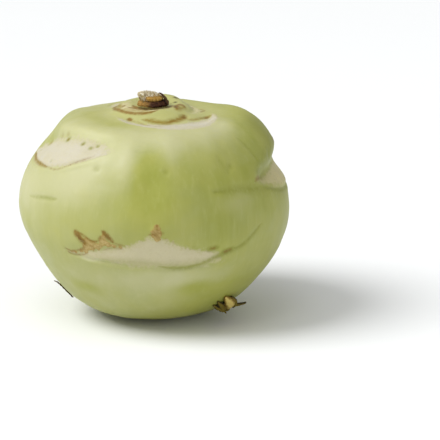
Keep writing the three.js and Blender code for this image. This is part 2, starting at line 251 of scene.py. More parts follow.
# The skin's unevenness: size of the lumps, height, and a shift that changes their pattern.
UNEVENNESS = [(16, 0.28, 9.0), (4, 0.06, 5.0)]
ROUGH_SIZE, ROUGH_SHIFT = 1.1, 3.0
SCAR_ROUGHNESS = 0.05
CORK_HEIGHT, CORK_ROUGHNESS = 0.12, 0.14
CORK_AHEAD = 0.2  # the cork's relief starts this far outside its edge
EDGE_RISE = 0.5  # the distance over which the relief of cork and scars grows
FINE_CROWN_REACH = 1  # how far inside the crown's rim the fine relief dies out
INSET = 0.24  # sinks the fine skin, so that its relief stays inside the CAD solid's overall size

FAR_FROM_SCAR = -4.0  # the scar field's value on plain skin
CORK_LIMIT = 3  # the cork field stays within this much either way
BUD_HEIGHT = 0.35
SPECK_DEPTH = 0.1
LINE_STEPS = 40
LINE_END_SHARE = 0.22  # share of a line's length over which it thins out at each end,
LINE_END_WIDTH = 0.35  # and the share of its width that is left there


def srgb(red, green, blue):
    """A colour given as it looks on screen, 0 to 255, as the linear colour that a shader takes."""
    shares = np.array([red, green, blue]) / 255
    linear = np.where(shares <= 0.04045, shares / 12.92, ((shares + 0.055) / 1.055) ** 2.4)
    return (*(float(share) for share in linear), 1.0)


def smooth(value):
    value = np.clip(value, 0, 1)
    return value * value * (3 - 2 * value)


def bell(value):
    return np.exp(-np.square(value))


def catmull_rom(points, steps):
    """Points along a uniform Catmull-Rom curve through the given ones."""
    points = np.array(points, float)
    points = np.vstack([points[0], points, points[-1]])
    spans = len(points) - 3
    travel = np.linspace(0, spans, steps + 1)
    span = np.minimum(travel.astype(int), spans - 1)
    t = (travel - span)[:, None]
    a, b, c, d = points[span], points[span + 1], points[span + 2], points[span + 3]
    return 0.5 * (2 * b + (c - a) * t + (2 * a - 5 * b + 4 * c - d) * t**2 + (3 * b - a - 3 * c + d) * t**3)


SIDE_CURVE = catmull_rom(SIDE, 600)
SIDE_ARC = np.concatenate([[0], np.cumsum(np.hypot(*np.diff(SIDE_CURVE, axis=0).T))])
SIDE_LENGTH = float(SIDE_ARC[-1])
BASE_RADIUS = SIDE[0][0]
CROWN_RADIUS, CROWN_HEIGHT = SIDE[-1]
BASE_RIM = CROWN_RADIUS + SIDE_LENGTH  # the base's rim, as a distance from the crown's middle


def side_at(from_crown):
    """Radius, height and the outward direction's two parts on the plain side, crown disc or base disc."""
    arc = BASE_RIM - from_crown
    step = 0.25
    below = [np.interp(arc - step, SIDE_ARC, SIDE_CURVE[:, axis]) for axis in (0, 1)]
    above = [np.interp(arc + step, SIDE_ARC, SIDE_CURVE[:, axis]) for axis in (0, 1)]
    along_radius, along_height = above[0] - below[0], above[1] - below[1]
    length = np.maximum(np.hypot(along_radius, along_height), 1e-9)
    radius = np.interp(arc, SIDE_ARC, SIDE_CURVE[:, 0])
    height = np.interp(arc, SIDE_ARC, SIDE_CURVE[:, 1])
    on_crown, on_base = arc > SIDE_LENGTH, arc < 0
    radius = np.where(on_crown, from_crown, np.where(on_base, BASE_RADIUS + arc, radius))
    out_radius = np.where(on_crown | on_base, 0, along_height / length)
    out_height = np.where(on_crown, 1, np.where(on_base, -1, -along_radius / length))
    return radius, height, out_radius, out_height


def arc_between(azimuth, middle, radius):
    """The distance round the skin from one azimuth to another, the short way."""
    turn = (azimuth - middle + 180) % 360 - 180
    return radius * np.radians(turn)


def scar_at(scar, azimuth, from_crown, radius):
    """Where a place lies on a scar: the distances above its upper and its lower edge, and the taper."""
    along = arc_between(azimuth, scar["azimuth"], radius)
    up = scar["from_crown"] - from_crown
    share = np.abs(along / scar["half_width"])
    lift = scar["horn"] * share**2 + scar["tilt"] * along / scar["half_width"]
    sideways = scar["skew"] * np.maximum(0, 1 - share**2)
    low_share = np.abs((along - sideways) / scar["half_width"])
    top = scar["rise"] * (1 - share ** scar["peak"]) + lift
    bottom = -scar["sink"] * (1 - low_share**LOW_PEAK) + lift
    taper = smooth((1 - share) / TIP_TAPER)
    return along, up, top, bottom, taper


def scar_colour_depth(scar, along, up, top, bottom):
    """How deep inside a scar's coloured part a place lies, 0 at its edge."""
    beak = scar["beak"] * bell((along - BEAK_AT) / BEAK_HALF_WIDTH)
    below_top = (top + beak + scar["spread"] - up) / scar["top_soft"]
    above_low = (up - bottom + scar["spread"]) / scar["low_soft"]
    from_tips = np.minimum(scar["half_width"] + along, scar["half_width"] - scar["cut"] - along)
    return np.minimum(np.minimum(below_top, above_low), TIP_SLOPE * from_tips)


def coarse_relief(azimuth, from_crown, radius):
    """How far the CAD solid's skin stands outside the plain side."""
    height = np.zeros_like(from_crown)
    for scar in SCARS:
        along, up, top, bottom, taper = scar_at(scar, azimuth, from_crown, radius)
        below = smooth((up - bottom) / np.maximum(top - bottom, THINNEST_SCAR))
        above = bell((up - top) / LIP)
        height -= scar["depth"] * taper * np.where(up > top, above, below)
        fullness = bell(along / scar["half_width"]) * bell((up - scar["rise"] - SWELL_ABOVE) / SWELL_ABOVE)
        height += scar["swell"] * fullness
    return height + lobes_at(LOBES, azimuth, from_crown, radius)


def lobes_at(lobes, azimuth, from_crown, radius):
    """The sum of soft lobes at a place."""
    total = np.zeros_like(from_crown)
    for middle, middle_from_crown, half_round, half_up, amount in lobes:
        along = arc_between(azimuth, middle, radius)
        total += amount * bell(along / half_round) * bell((middle_from_crown - from_crown) / half_up)
    return total


def skin_points(azimuth, from_crown, extra=0.0):
    """Points of the skin, moved out by extra, as rows of x, y, z."""
    azimuth, from_crown = np.broadcast_arrays(np.asarray(azimuth, float), np.asarray(from_crown, float))
    radius, height, out_radius, out_height = side_at(from_crown)
    outward = coarse_relief(azimuth, from_crown, radius)
    outward *= smooth((BASE_RIM - from_crown) / BASE_FADE) * smooth((from_crown - CROWN_RADIUS) / CROWN_FADE)
    outward = outward + extra
    radius = radius + out_radius * outward
    height = height + out_height * outward
    turn = np.radians(azimuth)
    return np.stack([radius * np.sin(turn), -radius * np.cos(turn), height], axis=-1)


def lumps(points, size, octaves, offset):
    """Smooth noise, about -1 to 1, with features of a size in millimetres."""
    shift = Vector((offset, offset * 0.7, -offset))
    values = [noise.fractal(Vector(point) / size + shift, 0.8, 2.1, octaves) for point in points.tolist()]
    return np.array(values)


# ---- Meshes and shaders ----


def make_mesh(name, vertices, faces, fields=None):
    """An object from vertices in millimetres, with smooth faces and a float value per vertex per field."""
    mesh = bpy.data.meshes.new(name)
    mesh.from_pydata((np.asarray(vertices) * MM).tolist(), [], faces)
    mesh.shade_smooth()
    for field, values in (fields or {}).items():
        attribute = mesh.attributes.new(field, "FLOAT", "POINT")
        attribute.data.foreach_set("value", np.asarray(values, np.float32))
    thing = bpy.data.objects.new(name, mesh)
    bpy.context.scene.collection.objects.link(thing)
    return thing


def closed_grid_faces(rows, columns):
    """Quads of a grid closed round its columns, and fans to two poles that come after its vertices."""
    faces = []
    for row in range(rows - 1):
        for column in range(columns):
            after = (column + 1) % columns
            low, high = row * columns, (row + 1) * columns
            faces.append((low + column, high + column, high + after, low + after))
    last = (rows - 1) * columns
    first_pole, last_pole = rows * columns, rows * columns + 1
    for column in range(columns):
        after = (column + 1) % columns
        faces.append((first_pole, column, after))
        faces.append((last_pole, last + after, last + column))
    return faces


def dress(thing, material, node):
    """Gives a piece its material, hangs it under the root body and hides the CAD part that it stands in for.
    """
    thing.data.materials.append(material)
    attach(thing, "root")
    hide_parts(node)


class Shader:
    """A Principled material with short calls for the nodes that colour it."""

    def __init__(self, name, **inputs):
        self.material = bpy.data.materials.new(name)
        self.material.use_nodes = True
        self.tree = self.material.node_tree
        self.skin = self.tree.nodes["Principled BSDF"]
        self.position = self.node("ShaderNodeTexCoord").outputs["Object"]
        for socket, value in inputs.items():
            self.skin.inputs[socket.replace("_", " ")].default_value = value

    def node(self, kind, **settings):
        made = self.tree.nodes.new(kind)
        for setting, value in settings.items():
            setattr(made, setting, value)
        return made

    def put(self, socket, value):
        """Sets a socket to a number or a colour, or links it to another socket."""
        if isinstance(value, bpy.types.NodeSocket):
            self.tree.links.new(value, socket)
        else:
            socket.default_value = value

    def field(self, name):
        return self.node("ShaderNodeAttribute", attribute_name=name).outputs["Fac"]

    def math(self, operation, first, second=0.0, third=0.0):
        made = self.node("ShaderNodeMath", operation=operation)
        for socket, value in zip(made.inputs, (first, second, third)):
            self.put(socket, value)
        return made.outputs[0]

    def texture(self, kind, size, stretch):
        """A texture with features of a size in millimetres, stretched by a factor along each axis."""
        made = self.node(kind)
        mapping = self.node("ShaderNodeMapping")
        self.put(mapping.inputs["Vector"], self.position)
        mapping.inputs["Scale"].default_value = [1 / MM / factor for factor in stretch]
        self.put(made.inputs["Vector"], mapping.outputs[0])
        made.inputs["Scale"].default_value = 1 / size
        return made

    def noise(self, size, detail, roughness=0.55, stretch=(1, 1, 1)):
        """Noise from 0 to 1."""
        made = self.texture("ShaderNodeTexNoise", size, stretch)
        made.inputs["Detail"].default_value = detail
        made.inputs["Roughness"].default_value = roughness
        return made.outputs["Fac"]

    def cells(self, size, stretch):
        """Distance to the nearest of many scattered points, from 0."""
        return self.texture("ShaderNodeTexVoronoi", size, stretch).outputs["Distance"]

    def between(self, value, low, high, start=0.0, end=1.0):
        """A smooth step from start to end as the value goes from low to high."""
        made = self.node("ShaderNodeMapRange", interpolation_type="SMOOTHSTEP")
        for socket, number in zip(made.inputs, (value, low, high, start, end)):
            self.put(socket, number)
        return made.outputs[0]

    def mix(self, share, first, second):
        made = self.node("ShaderNodeMix", data_type="RGBA")
        self.put(made.inputs["Factor"], share)
        self.put(made.inputs[6], first)
        self.put(made.inputs[7], second)
        return made.outputs[2]

    def cover(self, colour, paint, value, low, high, most=1.0):
        """A paint over a colour: none of it at the low value, and the most of it at the high one."""
        return self.mix(self.between(value, low, high, 0, most), colour, srgb(*paint))

    def bump(self, height, distance, strength, under=None):
        """A bump of a height in millimetres."""
        made = self.node("ShaderNodeBump")
        self.put(made.inputs["Height"], height)
        made.inputs["Distance"].default_value = distance * MM
        made.inputs["Strength"].default_value = strength
        if under is not None:
            self.put(made.inputs["Normal"], under)
        return made.outputs[0]

    def finish(self, colour, roughness, normal):
        self.put(self.skin.inputs["Base Color"], colour)
        self.put(self.skin.inputs["Roughness"], roughness)
        self.put(self.skin.inputs["Normal"], normal)
        return self.material


# ---- The stem ----


def near(points, middle, reach):
    """Which points lie within reach of any of the given ones, by their box."""
    low, high = middle.min(axis=0) - reach, middle.max(axis=0) + reach
    return np.flatnonzero(np.all((points > low) & (points < high), axis=1))


def line_strength(points, half_width, line):
    """1 on a line drawn on the skin, falling evenly to 0 beside it, and thinner towards its ends."""
    path = catmull_rom(line, LINE_STEPS)
    path_points = skin_points(path[:, 0], path[:, 1])
    travel = np.linspace(0, 1, len(path))
    from_ends = smooth(np.minimum(travel, 1 - travel) / LINE_END_SHARE)
    taper = LINE_END_WIDTH + (1 - LINE_END_WIDTH) * from_ends
    strength = np.zeros(len(points))
    chosen = near(points, path_points, 3 * half_width)
    distance = np.linalg.norm(points[chosen, None] - path_points[None], axis=2)
    strength[chosen] = np.clip(1 - distance / (2 * half_width * taper), 0, 1).max(axis=1)
    return strength


def distance_to(points, azimuth, from_crown):
    """How far points are from a place on the skin."""
    return np.linalg.norm(points - skin_points([azimuth], [from_crown]), axis=1)


def bud_lines():
    """The uneven rays of every bud, as entries for LINES."""
    lines = []
    for azimuth, from_crown, size in BUDS:
        radius = side_at(np.array([from_crown]))[0][0]
        for ray in range(BUD_RAYS):
            # The factors 5 and 3.7 only make each ray differ from the next.
            turn = 2 * math.pi * (ray + BUD_UNEVENNESS * math.sin(5 * ray)) / BUD_RAYS
            reach = size * (BUD_RAY_REACH + BUD_UNEVENNESS * math.cos(3.7 * ray))
            along = math.degrees(math.sin(turn) / radius)
            ray_line = [
                (azimuth + share * reach * along, from_crown - share * reach * math.cos(turn))
                for share in (BUD_RAY_START, 1)]
            lines.append(("brown", *BUD_RAY_LOOK, ray_line))
    return lines


def skin_grid():
    """The azimuth and the distance from the crown of every vertex, and the number of rows."""
    rows = [np.linspace(start, end, count + 1)[1:] for start, end, count in ROW_BANDS]
    rows.append(np.linspace(ROW_BANDS[-1][1], BASE_RIM, RIM_ROWS + 1)[1:])
    rows.append(BASE_RIM + np.linspace(0, BASE_RADIUS, BASE_ROWS + 1)[1:-1])
    rows = np.concatenate(rows)
    azimuth, from_crown = np.meshgrid(np.arange(COLUMNS) * 360 / COLUMNS, rows)
    return azimuth.ravel(), from_crown.ravel(), len(rows)


def scar_layers(azimuth, from_crown, radius):
    """The scars' lips and grooves, how deep a place lies inside a scar, and that scar's tan."""
    extra = np.zeros(len(azimuth))
    inside = np.full(len(azimuth), FAR_FROM_SCAR)
    tan = np.zeros(len(azimuth))
    for scar in SCARS:
        along, up, top, bottom, taper = scar_at(scar, azimuth, from_crown, radius)
        depth = scar_colour_depth(scar, along, up, top, bottom)
        tan = np.where(depth > inside, scar["tan"], tan)
        inside = np.maximum(inside, depth)
        lip = scar["lip"] * bell((up - top - LIP_ROLL_AT) / LIP_ROLL_WIDTH)
        groove = bell((up - bottom) / GROOVE_WIDTH)
        ridge = RIDGE_SHARE * bell((up - bottom - RIDGE_AT) / RIDGE_WIDTH)
        extra += taper * (lip + scar["groove"] * (ridge - groove))
    return extra, inside, tan


def mark_layers(points):
    """The relief of the lines, specks and buds, and the strength of each pigment."""
    extra = np.zeros(len(points))
    pigments = {name: np.zeros(len(points)) for name in ("green", "brown", "ochre", "dark")}
    for pigment, strength, half_width, depth, line in LINES + bud_lines():
        on_line = line_strength(points, half_width, line)
        extra -= depth * on_line
        pigments[pigment] = np.maximum(pigments[pigment], strength * on_line)
    for pigment, strength, size, azimuth, from_crown in SPECKS:
        spot = bell(distance_to(points, azimuth, from_crown) / size)
        extra -= SPECK_DEPTH * spot
        pigments[pigment] = np.maximum(pigments[pigment], strength * spot)
    for azimuth, from_crown, size in BUDS:
        extra += BUD_HEIGHT * bell(distance_to(points, azimuth, from_crown) / size)
    return extra, pigments


def cork_depth(points, from_crown):
    """How deep a place lies inside the corky patches or the trimmed base, in millimetres."""
    cork = from_crown - BASE_RIM + BASE_CORK
    for azimuth, middle_from_crown, size in CORK:
        cork = np.maximum(cork, size - distance_to(points, azimuth, middle_from_crown))
    return np.clip(cork, -CORK_LIMIT, CORK_LIMIT)


def base_recess(from_crown, rough):
    """How far the trimmed base's rings are sunk, so that the stem stands on its rim."""
    woody = BASE_RIM + BASE_RADIUS - from_crown
    recess = BASE_SINK + BASE_ROUGHNESS * rough + BASE_RING_HEIGHT * np.cos(BASE_RING_TURN * woody)
    recess = np.where(from_crown > BASE_RIM + BASE_FACE_EDGE, recess, 0)
    return np.clip(recess, 0, BASE_DEEPEST) * smooth((from_crown - BASE_RIM) / BASE_SINK_WIDTH)


def make_stem():
    """The stem's fine mesh, with a value per vertex for each kind of marking."""
    azimuth, from_crown, rows = skin_grid()
    points = skin_points(azimuth, from_crown)
    radius = side_at(from_crown)[0]
    rough = lumps(points, ROUGH_SIZE, 2, ROUGH_SHIFT)

    scar_extra, scar_inside, scar_tan = scar_layers(azimuth, from_crown, radius)
    mark_extra, pigments = mark_layers(points)
    cork = cork_depth(points, from_crown)
    extra = lobes_at(RIBS, azimuth, from_crown, radius) + scar_extra + mark_extra - INSET
    extra += smooth((cork + CORK_AHEAD) / EDGE_RISE) * (CORK_HEIGHT + CORK_ROUGHNESS * rough)
    extra += SCAR_ROUGHNESS * rough * smooth(scar_inside / EDGE_RISE)
    for size, height, shift in UNEVENNESS:
        extra += height * lumps(points, size, 2, shift)
    extra *= smooth((BASE_RIM - from_crown) / BASE_FADE)
    extra *= smooth((from_crown - CROWN_RADIUS + FINE_CROWN_REACH) / CROWN_FADE)
    extra -= base_recess(from_crown, rough)
    points = skin_points(azimuth, from_crown, extra)

    fields = {
        "scar": scar_inside,
        "scar_tan": scar_tan,
        "cork": cork,
        # darker and paler patches, among them painted highlight, painted floor reflection and the ribs'
        # painted light and shade
        "stain": lobes_at(PATCHES_AND_PAINTED_LIGHT, azimuth, from_crown, radius),
        "from_crown": from_crown,
        **pigments,
    }
    poles = np.array([[0, 0, CROWN_HEIGHT], [0, 0, BASE_POLE_HEIGHT]])
    ends = {
        "scar": (FAR_FROM_SCAR, FAR_FROM_SCAR), "cork": (-CORK_LIMIT, CORK_LIMIT),
        "from_crown": (0, BASE_RIM + BASE_RADIUS),
    }
    for name in fields:
        fields[name] = np.append(fields[name], ends.get(name, (0, 0)))
    return make_mesh("stem_skin", np.vstack([points, poles]), closed_grid_faces(rows, COLUMNS), fields)


def green_skin(shader, patchy, streaks):
    """The skin's greens: patches, stripes down the stem, darker and paler patches that include painted
    highlight, painted floor reflection and the ribs' painted light and shade, and a crown that is paler
    partly in its own colour and partly as painted light from above.
    """
    broad = shader.noise(24, 2)
    stripes = shader.noise(4.5, 2, 0.5, stretch=(1, 1, 8))
    green = shader.cover(srgb(146, 151, 58), (154, 157, 68), broad, 0.35, 0.65)
    green = shader.cover(green, (163, 165, 82), stripes, 0.4, 0.7, 0.4)
    green = shader.cover(green, (170, 168, 88), patchy, 0.4, 0.8, 0.35)
    green = shader.cover(green, (178, 178, 108), streaks, 0.5, 0.75, 0.2)
    # Darker and paler patches from the table, blotted with noise; among them are painted highlight, painted
    # floor reflection and the front ribs' painted light and shade.
    stain = shader.math("MULTIPLY_ADD", patchy, 0.3, shader.field("stain"))
    green = shader.cover(green, (136, 139, 44), stain, 0.3, 1.0, 0.8)
    green = shader.cover(green, (192, 190, 150), stain, 0.3, -0.4, 0.75)
    # A paler crown: partly the skin's own paler colour, partly painted light from above.
    return shader.cover(green, (188, 184, 126), shader.field("from_crown"), 36, 14, 0.4)


def scar_skin(shader, scar_depth, patchy, fine):
    """The bare tissue of a leaf scar, duller towards its edge."""
    colour = shader.mix(shader.field("scar_tan"), srgb(190, 184, 162), srgb(200, 190, 136))
    colour = shader.cover(colour, (184, 177, 142), patchy, 0.35, 0.7, 0.4)
    colour = shader.cover(colour, (178, 171, 122), scar_depth, 1.6, 0.2, 0.4)
    return shader.cover(colour, (176, 160, 122), fine, 0.5, 0.8, 0.25)


def cork_skin(shader, depth_in_cork, fine):
    """Corky tissue, browner towards its edge."""
    colour = shader.cover(srgb(160, 138, 74), (184, 162, 102), fine, 0.3, 0.7)
    return shader.cover(colour, (150, 120, 40), depth_in_cork, 0.8, 0.1, 0.5)


# Each pigment's colour and how far it covers the skin at its strongest. The dark green is partly painted
# shade in creases.
PIGMENTS = {
    "ochre": ((134, 113, 16), 0.9), "green": ((126, 131, 26), 0.75),
    "brown": ((124, 92, 0), 0.95), "dark": ((66, 54, 0), 0.95),
}


def stem_material():
    """Waxy green skin with patches, some of them painted highlight, painted reflection and painted shade,
    leaf scars, cork and lines.
    """
    shader = Shader(
        "kohlrabi_skin", Subsurface_Weight=0.1, Subsurface_Scale=0.003, Specular_IOR_Level=0.4,
        Coat_Weight=0.15, Coat_Roughness=0.5)
    shader.skin.inputs["Subsurface Radius"].default_value = (1.0, 0.9, 0.4)
    patchy = shader.noise(7, 3, 0.5)
    streaks = shader.noise(1.4, 3, 0.6, stretch=(1, 1, 7))
    fine = shader.noise(0.7, 3, 0.6)
    edge = shader.noise(1.3, 3, 0.6)
    jitter = shader.math("MULTIPLY_ADD", edge, 2.4, -1.2)

    scar_depth = shader.math("ADD", shader.field("scar"), jitter)
    scar = shader.between(scar_depth, -0.3, 0.7)
    green = green_skin(shader, patchy, streaks)
    colour = shader.mix(scar, green, scar_skin(shader, scar_depth, patchy, fine))

    depth_in_cork = shader.math("ADD", shader.field("cork"), jitter)
    cork = shader.between(depth_in_cork, -0.15, 0.4)
    colour = shader.mix(cork, colour, cork_skin(shader, depth_in_cork, fine))

    broken = shader.between(edge, 0.3, 0.6, 0.6, 1.0)
    for name, (paint, most) in PIGMENTS.items():
        strength = shader.math("MULTIPLY", shader.field(name), broken)
        colour = shader.cover(colour, paint, strength, 0.05, 0.75, most)

    dull = shader.math("MAXIMUM", scar, cork)
    roughness = shader.math("MULTIPLY_ADD", patchy, 0.14, 0.42)
    roughness = shader.math("MULTIPLY_ADD", dull, 0.2, roughness)
    pores = shader.between(shader.cells(1.5, (1, 1, 1.8)), 0.05, 0.3)
    normal = shader.bump(streaks, 0.05, 0.6)
    normal = shader.bump(pores, 0.03, 0.25, normal)
    rough_height = shader.math("MULTIPLY", dull, fine)
    normal = shader.bump(rough_height, 0.2, 0.9, normal)
    return shader.finish(colour, roughness, normal)


dress(make_stem(), stem_material(), "bulb")

# ---- The dried stub of the shoot ----

STUB_LOW, STUB_HIGH = (np.array(corner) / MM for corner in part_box("crown_stub"))
STUB_HEIGHT = float(STUB_HIGH[2] - STUB_LOW[2])
STUB_MIDDLE = (0.2, -1.5)
STUB_LEAN = 2.2
# [radius, height]: the dark torn foot, a crevice, the golden band, the top under the fibres. The foot
# starts below 0, inside the crown, so that no gap shows under it.
STUB_SIDE = [
    [4.4, -0.5], [4.8, 0.0], [4.8, 0.5], [4.4, 1.0], [3.8, 1.4], [3.4, 1.55], [3.7, 1.8],
    [3.95, 2.3], [3.9, 2.8], [3.5, 3.15], [2.8, 3.25], [2.2, 3.4], [1.2, 3.6], [0.3, 3.65],
]
STUB_ROWS, STUB_COLUMNS = 70, 120
STUB_WAVES = [(3, 0.2, -1), (5, 0.16, 0.4), (11, 0.08, 0)]  # number round it, height, phase
STUB_MEAN_RADIUS = 4.5
TORN_LUMPS, TORN_TEETH = 0.22, 0.12  # the height of the two kinds of raggedness in its side
TORN_FOOT, TORN_BAND = 1.5, 0.7  # how strongly they show on the foot and above it
UNEVEN_HEIGHT = 0.15
FOOT_TOP = 1.5  # where the dark foot ends and the golden band starts
BAND_TOP = 3.0


def beside_stub(radius, height, turn):
    """A point at a turn round the middle of the stub's foot."""
    x = STUB_MIDDLE[0] + radius * np.sin(turn)
    y = STUB_MIDDLE[1] - radius * np.cos(turn)
    return np.stack([x, y, STUB_LOW[2] + height], axis=-1)


def stub_point(radius, height, turn):
    """A point at a turn round the stub's leaning axis."""
    point = beside_stub(radius, height, turn)
    point[..., 0] -= STUB_LEAN * (np.maximum(height, 0) / STUB_HEIGHT) ** 2
    return point


def make_stub():
    """The stub's dark torn foot and its golden band."""
    side = catmull_rom(STUB_SIDE, STUB_ROWS)
    turn = np.tile(np.arange(STUB_COLUMNS) * 2 * math.pi / STUB_COLUMNS, len(side))
    radius, height = np.repeat(side, STUB_COLUMNS, axis=0).T
    wave = sum(rise * np.cos(count * turn + phase) for count, rise, phase in STUB_WAVES)
    ring = stub_point(radius, height, turn)
    torn = TORN_LUMPS * lumps(ring, 0.7, 3, 2.0) + TORN_TEETH * np.cos(37 * turn + 6 * np.sin(3 * turn))
    torn *= np.where(height < FOOT_TOP, TORN_FOOT, TORN_BAND)
    radius = radius * (1 + wave / STUB_MEAN_RADIUS) + torn * smooth(radius / 2)
    height = height + UNEVEN_HEIGHT * lumps(ring, 1.3, 2, 8.0)
    points = stub_point(radius, height, turn)
    ends = np.array([STUB_SIDE[0][1], STUB_SIDE[-1][1]])
    poles = stub_point(np.zeros(2), ends, np.zeros(2))
    # side runs from -1 on the left to 1 on the right; it places the painted highlight on the foot's left.
    fields = {"height": np.append(height, ends), "side": np.append(np.sin(turn), [0, 0])}
    # The rows go upwards, so the faces are turned over to face outwards.
    faces = [face[::-1] for face in closed_grid_faces(len(side), STUB_COLUMNS)]
    return make_mesh("stub_body", np.vstack([points, poles]), faces, fields)


def stub_material():
    """Dark at the foot with its left side paled by a painted highlight, golden in the band with painted shade
    darkening the band's top under the fibres, and brown on top.
    """
    shader = Shader("dried_stem", Specular_IOR_Level=0.3)
    grain = shader.noise(0.35, 3, 0.6, stretch=(1, 1, 5))
    patch = shader.noise(1.2, 3)
    height = shader.math("MULTIPLY_ADD", patch, 0.6, shader.math("SUBTRACT", shader.field("height"), 0.3))
    side = shader.math("MULTIPLY_ADD", patch, 0.8, shader.math("SUBTRACT", shader.field("side"), 0.4))
    foot = shader.cover(srgb(40, 16, 0), (84, 44, 8), grain, 0.35, 0.75)
    # Painted highlight: the foot pales towards its left, the side the key light comes from.
    foot = shader.cover(foot, (168, 130, 64), side, 0.0, -0.8, 0.8)
    band = shader.cover(srgb(168, 122, 40), (214, 176, 98), grain, 0.3, 0.7)
    # Painted shade: the band darkens towards its top, under the fibres.
    band = shader.cover(band, (110, 78, 14), height, BAND_TOP - 0.5, BAND_TOP, 0.6)
    top = shader.cover(srgb(84, 56, 22), (150, 122, 70), patch, 0.3, 0.7)
    colour = shader.mix(shader.between(height, FOOT_TOP - 0.1, FOOT_TOP + 0.3), foot, band)
    colour = shader.mix(shader.between(height, BAND_TOP, BAND_TOP + 0.3), colour, top)
    return shader.finish(colour, 0.8, shader.bump(grain, 0.15, 0.9))


TUBE_SIDES = 6
TUBE_CAPS = (0.5, 0.8)  # how far its foot and tip are drawn out, as shares of the radius
ASIDE = [0.31, 0.77, 0.55]  # a direction that no fibre runs along


def tapered_tube(path, radii):
    """Vertices and faces of a closed tube along a path of points, with a radius at each."""
    tangents = np.gradient(path, axis=0)
    tangents /= np.linalg.norm(tangents, axis=1, keepdims=True) + 1e-9
    across = np.cross(tangents, ASIDE)
    across /= np.linalg.norm(across, axis=1, keepdims=True) + 1e-9
    over = np.cross(tangents, across)
    turn = np.arange(TUBE_SIDES) * 2 * math.pi / TUBE_SIDES
    ring = np.cos(turn)[None, :, None] * across[:, None] + np.sin(turn)[None, :, None] * over[:, None]
    points = (path[:, None] + ring * np.asarray(radii)[:, None, None]).reshape(-1, 3)
    foot = path[0] - tangents[0] * radii[0] * TUBE_CAPS[0]
    tip = path[-1] + tangents[-1] * radii[-1] * TUBE_CAPS[1]
    faces = [face[::-1] for face in closed_grid_faces(len(path), TUBE_SIDES)]
    return np.vstack([points, foot, tip]), faces


def join_tubes(name, tubes):
    """One object from many closed tubes."""
    vertices, faces, start = [], [], 0
    for points, tube_faces in tubes:
        vertices.append(points)
        faces += [tuple(start + index for index in face) for face in tube_faces]
        start += len(points)
    return make_mesh(name, np.vstack(vertices), faces)


SEED = 11
FIBRE_TOP = STUB_HEIGHT - 0.12  # the tallest fibres end just under the CAD solid's top
FIBRE_STEPS = 7
GOLDEN_TURN = math.radians(137.5)  # from one fibre to the next, which spaces them evenly

# The upright tuft.
FIBRES = 420
FIBRE_FOOT = 2.6  # where the fibres leave the stub
FIBRE_RADIUS, FIBRE_TAPER = (0.13, 0.3), 0.85
FIBRE_SHORTER = 0.95  # how much shorter than its neighbours a fibre can be
FIBRE_SPLAY, FIBRE_SWAY = (-0.6, 0.5), (-0.3, 0.3)  # how far a tip strays outwards, and round in radians
TUFT_RADIUS = 3.6
TUFT_FALL, TUFT_SIDE_FALL = 0.75, 0.3  # how much lower its edge is, all round and at the sides

# The fringe that folds over.
FRINGE = 120
FRINGE_TURN = math.radians(-84)
FRINGE_HALF_TURN = math.radians(60)
FRINGE_RADIUS, FRINGE_TAPER = (0.12, 0.25), 0.7
FRINGE_FOOT, FRINGE_DROP = (3.1, 3.8), (0.8, 2.9)
FRINGE_ARCH = 0.35  # how far it rises before it drops
FRINGE_OUT, FRINGE_REACH = 2.4, 1.6  # where it starts, and how far out from there it reaches
FRINGE_SPLAY, FRINGE_SWAY = (-0.2, 0.2), (-0.25, 0.25)


def make_fibres():
    """The frayed ends of the stem's fibres: a spiky tuft, and a fringe that folds over on the left."""
    chance = np.random.default_rng(SEED)
    tubes = []
    travel = np.linspace(0, 1, FIBRE_STEPS)
    for index in range(FIBRES):
        share = math.sqrt((index + 0.5) / FIBRES)
        turn = index * GOLDEN_TURN
        edge_fall = TUFT_FALL * share**3 + TUFT_SIDE_FALL * share * abs(math.sin(turn))
        tip = FIBRE_TOP - edge_fall - FIBRE_SHORTER * chance.random() ** 1.3
        height = FIBRE_FOOT + (tip - FIBRE_FOOT) * travel
        spread = TUFT_RADIUS * share + chance.uniform(*FIBRE_SPLAY) * travel**2
        sway = turn + chance.uniform(*FIBRE_SWAY) * travel**2
        radii = chance.uniform(*FIBRE_RADIUS) * (1 - FIBRE_TAPER * travel)
        tubes.append(tapered_tube(stub_point(spread, height, sway), radii))
    for index in range(FRINGE):
        turn = FRINGE_TURN + chance.uniform(-FRINGE_HALF_TURN, FRINGE_HALF_TURN)
        drop = chance.uniform(*FRINGE_DROP) * math.cos(0.9 * (turn - FRINGE_TURN))
        height = chance.uniform(*FRINGE_FOOT) + FRINGE_ARCH * np.sin(math.pi * travel) - drop * travel**2
        spread = FRINGE_OUT + FRINGE_REACH * np.sin(1.7 * travel) + chance.uniform(*FRINGE_SPLAY)
        sway = turn + chance.uniform(*FRINGE_SWAY) * travel
        radii = chance.uniform(*FRINGE_RADIUS) * (1 - FRINGE_TAPER * travel)
        tubes.append(tapered_tube(stub_point(spread, np.minimum(height, FIBRE_TOP), sway), radii))
    return join_tubes("stub_fibres", tubes)


def fibre_material():
    """Pale bleached fibres with brown ones between."""
    shader = Shader("frayed_fibres", Specular_IOR_Level=0.25)
    patch = shader.noise(0.9, 3, 0.6)
    grain = shader.noise(0.25, 2)
    colour = shader.cover(srgb(234, 228, 208), (186, 168, 118), patch, 0.35, 0.65)
    colour = shader.cover(colour, (122, 92, 34), grain, 0.5, 0.7, 0.7)
    return shader.finish(colour, 0.9, shader.bump(grain, 0.06, 0.8))


dress(make_stub(), stub_material(), "crown_stub")
dress(make_fibres(), fibre_material(), "crown_stub")

# ---- Dry scales and leaf remains ----


BROAD_GRID = (60, 28)  # rings along a strand and sides round it
STRIP_GRID = (40, 16)
RAGGED, RAGGED_SIZE = 0.24, 0.8  # how ragged a strand is, as a share of its width, and the size of its rags
WRINKLE, WRINKLE_SIZE = 0.12, 0.5


